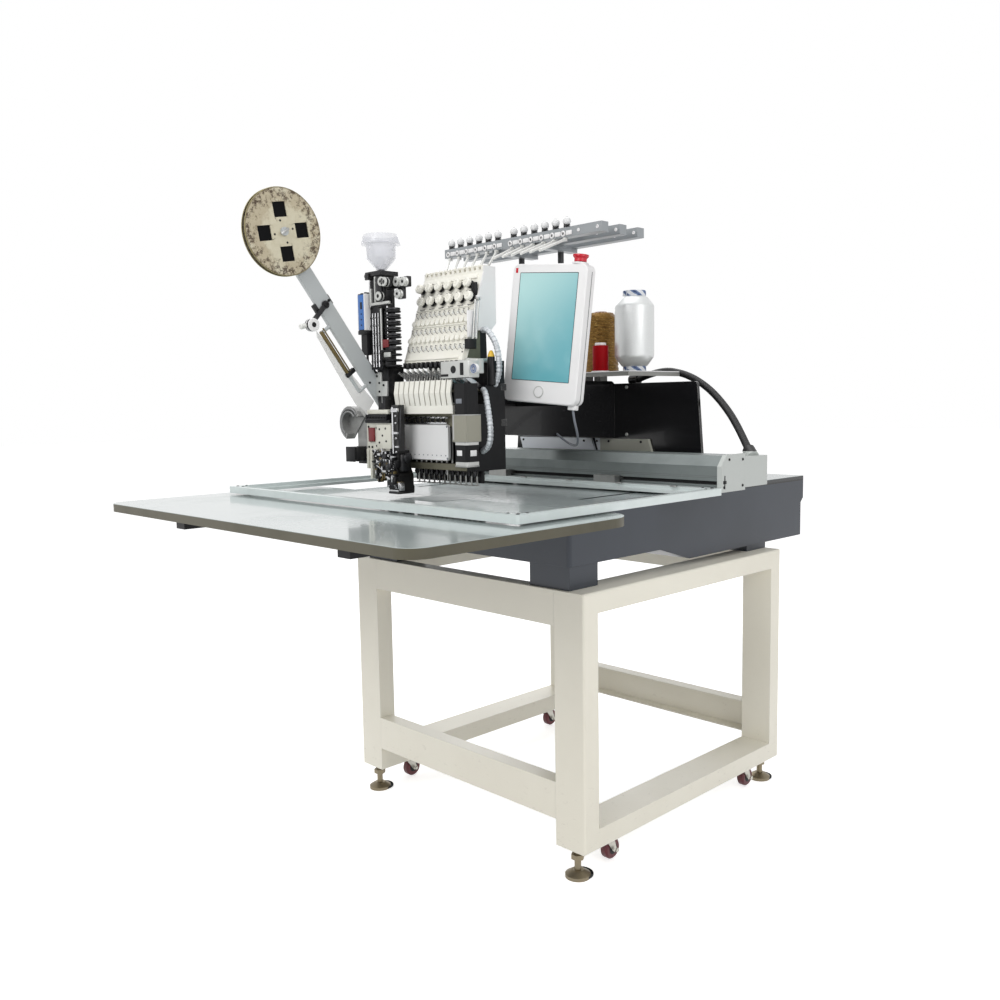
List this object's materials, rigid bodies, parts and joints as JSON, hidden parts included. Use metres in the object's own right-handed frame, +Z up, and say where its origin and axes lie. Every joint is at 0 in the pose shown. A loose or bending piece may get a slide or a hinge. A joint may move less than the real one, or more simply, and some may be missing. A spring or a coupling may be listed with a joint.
{
  "type": "single-head embroidery machine with sequin device",
  "caption": "Embroidery machine on a steel stand: needle head with sequin and bead feeder, moving border frame, table, thread rack and touch panel.",
  "frame": {"origin": "centre of the footprint box on the floor", "axes": "+X operator's right, +Y from the table to the back of the base, +Z up"},
  "size_m": [1.2, 1.7, 1.6175],
  "materials": {
    "stand_paint": "semi-gloss warm grey",
    "rail_paint": "semi-gloss warm grey",
    "base_paint": "blue-grey paint",
    "bed_grey": "pale grey, black edge",
    "needle_steel": "ground steel",
    "hook_steel": "polished",
    "table_laminate": "glossy white laminate, olive-brown edge",
    "black_metal": "black",
    "beam_aluminium": "anodised",
    "cap_grey": "pale grey",
    "belt_rubber": "toothed belt",
    "frame_aluminium": "anodised",
    "bracket_steel": "plain",
    "cabinet_black": "black",
    "cover_grey": "pale grey",
    "shelf_grey": "grey",
    "thread": "wound thread",
    "rack_aluminium": "satin",
    "white_plastic": "white",
    "tube_clear": "milky translucent",
    "panel_white": "white",
    "screen_glass": "teal display",
    "estop_red": "red",
    "case_dark": "dark grey",
    "chrome_bars": "polished",
    "lever_steel": "plain",
    "guard_white": "white",
    "cover_silver": "satin silver",
    "motor_black": "black",
    "cream_plastic": "cream",
    "tower_steel": "plain",
    "hopper_clear": "milky translucent",
    "drive_blue": "blue",
    "arm_grey": "grey",
    "reel_cream": "cream with brown stains",
    "foot_zinc": "zinc plated",
    "fork_zinc": "zinc plated",
    "wheel_maroon": "maroon",
    "conduit_black": "corrugated black"
  },
  "bodies": {
    "frame": {"stand_side_left": "stand_paint", "stand_side_right": "stand_paint", "stand_rails": "rail_paint", "base_casting": "base_paint", "bed_plate": "bed_grey", "needle_plate": "needle_steel", "table_board": "table_laminate", "table_brackets": "black_metal", "arm_casting": "cabinet_black", "control_cabinet": "cabinet_black", "foot_covers": "cover_grey", "spool_shelf": "shelf_grey", "thread_spools": "thread", "thread_rack": "rack_aluminium", "rack_guides": "white_plastic", "thread_tubes": "tube_clear", "panel_bracket": "black_metal", "cable_conduit": "conduit_black"},
    "beam": {"x_beam": "beam_aluminium", "beam_end_caps": "cap_grey", "x_belt": "belt_rubber", "x_drive_box": "cap_grey", "y_carriages": "bracket_steel"},
    "hoop": {"border_frame": "frame_aluminium", "frame_brackets": "bracket_steel"},
    "head": {"needle_case": "case_dark", "needle_bars_idle": "chrome_bars", "take_up_levers_idle": "lever_steel", "lever_guard": "guard_white", "front_cover": "cover_silver", "head_motors": "motor_black", "tension_base": "cream_plastic", "tension_knobs": "white_plastic", "head_cover": "guard_white"},
    "needle_bar": {"needle_bar_active": "chrome_bars"},
    "take_up": {"take_up_lever_active": "lever_steel"},
    "sequin": {"sequin_tower": "tower_steel", "bead_hopper": "hopper_clear", "sequin_drives": "drive_blue", "sequin_feeder": "tower_steel", "reel_arm": "arm_grey"},
    "reel": {"sequin_reel": "reel_cream"},
    "tape_lever": {"tape_lever": "white_plastic"},
    "panel": {"panel_housing": "panel_white", "panel_screen": "screen_glass"},
    "home_button": {"home_button": "panel_white"},
    "estop": {"estop_button": "estop_red"},
    "hook": {"rotary_hook": "hook_steel"},
    "foot_front_left": {"levelling_foot_front_left": "foot_zinc"},
    "fork_front_left": {"caster_fork_front_left": "fork_zinc"},
    "wheel_front_left": {"caster_wheel_front_left": "wheel_maroon"},
    "foot_front_right": {"levelling_foot_front_right": "foot_zinc"},
    "fork_front_right": {"caster_fork_front_right": "fork_zinc"},
    "wheel_front_right": {"caster_wheel_front_right": "wheel_maroon"},
    "foot_rear_left": {"levelling_foot_rear_left": "foot_zinc"},
    "fork_rear_left": {"caster_fork_rear_left": "fork_zinc"},
    "wheel_rear_left": {"caster_wheel_rear_left": "wheel_maroon"},
    "foot_rear_right": {"levelling_foot_rear_right": "foot_zinc"},
    "fork_rear_right": {"caster_fork_rear_right": "fork_zinc"},
    "wheel_rear_right": {"caster_wheel_rear_right": "wheel_maroon"}
  },
  "joints": [
    {"name": "beam_y_slide", "type": "slide", "parent": "frame", "child": "beam", "axis": [0, 1, 0], "range_m": [-0.2, 0.09], "deforming": ["cable_conduit"]},
    {"name": "frame_x_slide", "type": "slide", "parent": "beam", "child": "hoop", "axis": [1, 0, 0], "range_m": [-0.15, 0.15]},
    {"name": "colour_change_slide", "type": "slide", "parent": "frame", "child": "head", "axis": [1, 0, 0], "range_m": [-0.1, 0.12]},
    {"name": "needle_bar_slide", "type": "slide", "parent": "head", "child": "needle_bar", "axis": [0, 0, 1], "range_m": [-0.036, 0]},
    {"name": "take_up_swing", "type": "hinge", "parent": "head", "child": "take_up", "pos_m": [0, -0.206, 1.14], "axis": [1, 0, 0], "range_deg": [0, 30]},
    {"name": "sequin_lift", "type": "slide", "parent": "head", "child": "sequin", "axis": [0, 0, 1], "range_m": [0, 0.04]},
    {"name": "reel_spin", "type": "hinge", "parent": "sequin", "child": "reel", "pos_m": [-0.2013, -0.564, 1.516], "axis": [1, 0, 0], "continuous": true},
    {"name": "tape_lever_swing", "type": "hinge", "parent": "sequin", "child": "tape_lever", "pos_m": [-0.2073, -0.4446, 1.3556], "axis": [1, 0, 0], "range_deg": [-20, 20], "stiffness_Nm_per_rad": 0.4},
    {"name": "panel_swivel", "type": "hinge", "parent": "frame", "child": "panel", "pos_m": [0.19, -0.026, 1.2], "axis": [0, 0, 1], "range_deg": [-15, 15]},
    {"name": "home_press", "type": "slide", "parent": "panel", "child": "home_button", "axis": [-0.1562, 0.9863, -0.0523], "range_m": [0, 0.001], "stiffness_N_per_m": 600},
    {"name": "estop_press", "type": "slide", "parent": "panel", "child": "estop", "axis": [-0.0779, -0.0651, -0.9948], "range_m": [0, 0.005]},
    {"name": "hook_spin", "type": "hinge", "parent": "frame", "child": "hook", "pos_m": [0, -0.24, 0.827], "axis": [0, 1, 0], "continuous": true},
    {"name": "foot_turn_front_left", "type": "hinge", "parent": "frame", "child": "foot_front_left", "pos_m": [-0.38, -0.195, 0.05], "axis": [0, 0, 1], "continuous": true},
    {"name": "caster_swivel_front_left", "type": "hinge", "parent": "frame", "child": "fork_front_left", "pos_m": [-0.38, -0.095, 0.06], "axis": [0, 0, 1], "continuous": true},
    {"name": "caster_roll_front_left", "type": "hinge", "parent": "fork_front_left", "child": "wheel_front_left", "pos_m": [-0.38, -0.077, 0.03], "axis": [1, 0, 0], "continuous": true},
    {"name": "foot_turn_front_right", "type": "hinge", "parent": "frame", "child": "foot_front_right", "pos_m": [0.38, -0.195, 0.05], "axis": [0, 0, 1], "continuous": true},
    {"name": "caster_swivel_front_right", "type": "hinge", "parent": "frame", "child": "fork_front_right", "pos_m": [0.38, -0.095, 0.06], "axis": [0, 0, 1], "continuous": true},
    {"name": "caster_roll_front_right", "type": "hinge", "parent": "fork_front_right", "child": "wheel_front_right", "pos_m": [0.38, -0.077, 0.03], "axis": [1, 0, 0], "continuous": true},
    {"name": "foot_turn_rear_left", "type": "hinge", "parent": "frame", "child": "foot_rear_left", "pos_m": [-0.38, 0.615, 0.05], "axis": [0, 0, 1], "continuous": true},
    {"name": "caster_swivel_rear_left", "type": "hinge", "parent": "frame", "child": "fork_rear_left", "pos_m": [-0.38, 0.515, 0.06], "axis": [0, 0, 1], "continuous": true},
    {"name": "caster_roll_rear_left", "type": "hinge", "parent": "fork_rear_left", "child": "wheel_rear_left", "pos_m": [-0.38, 0.533, 0.03], "axis": [1, 0, 0], "continuous": true},
    {"name": "foot_turn_rear_right", "type": "hinge", "parent": "frame", "child": "foot_rear_right", "pos_m": [0.38, 0.615, 0.05], "axis": [0, 0, 1], "continuous": true},
    {"name": "caster_swivel_rear_right", "type": "hinge", "parent": "frame", "child": "fork_rear_right", "pos_m": [0.38, 0.515, 0.06], "axis": [0, 0, 1], "continuous": true},
    {"name": "caster_roll_rear_right", "type": "hinge", "parent": "fork_rear_right", "child": "wheel_rear_right", "pos_m": [0.38, 0.533, 0.03], "axis": [1, 0, 0], "continuous": true}
  ],
  "couplings": [
    {"joint": "take_up_swing", "follows": "needle_bar_slide", "rad_per_m": -14.5}
  ]
}
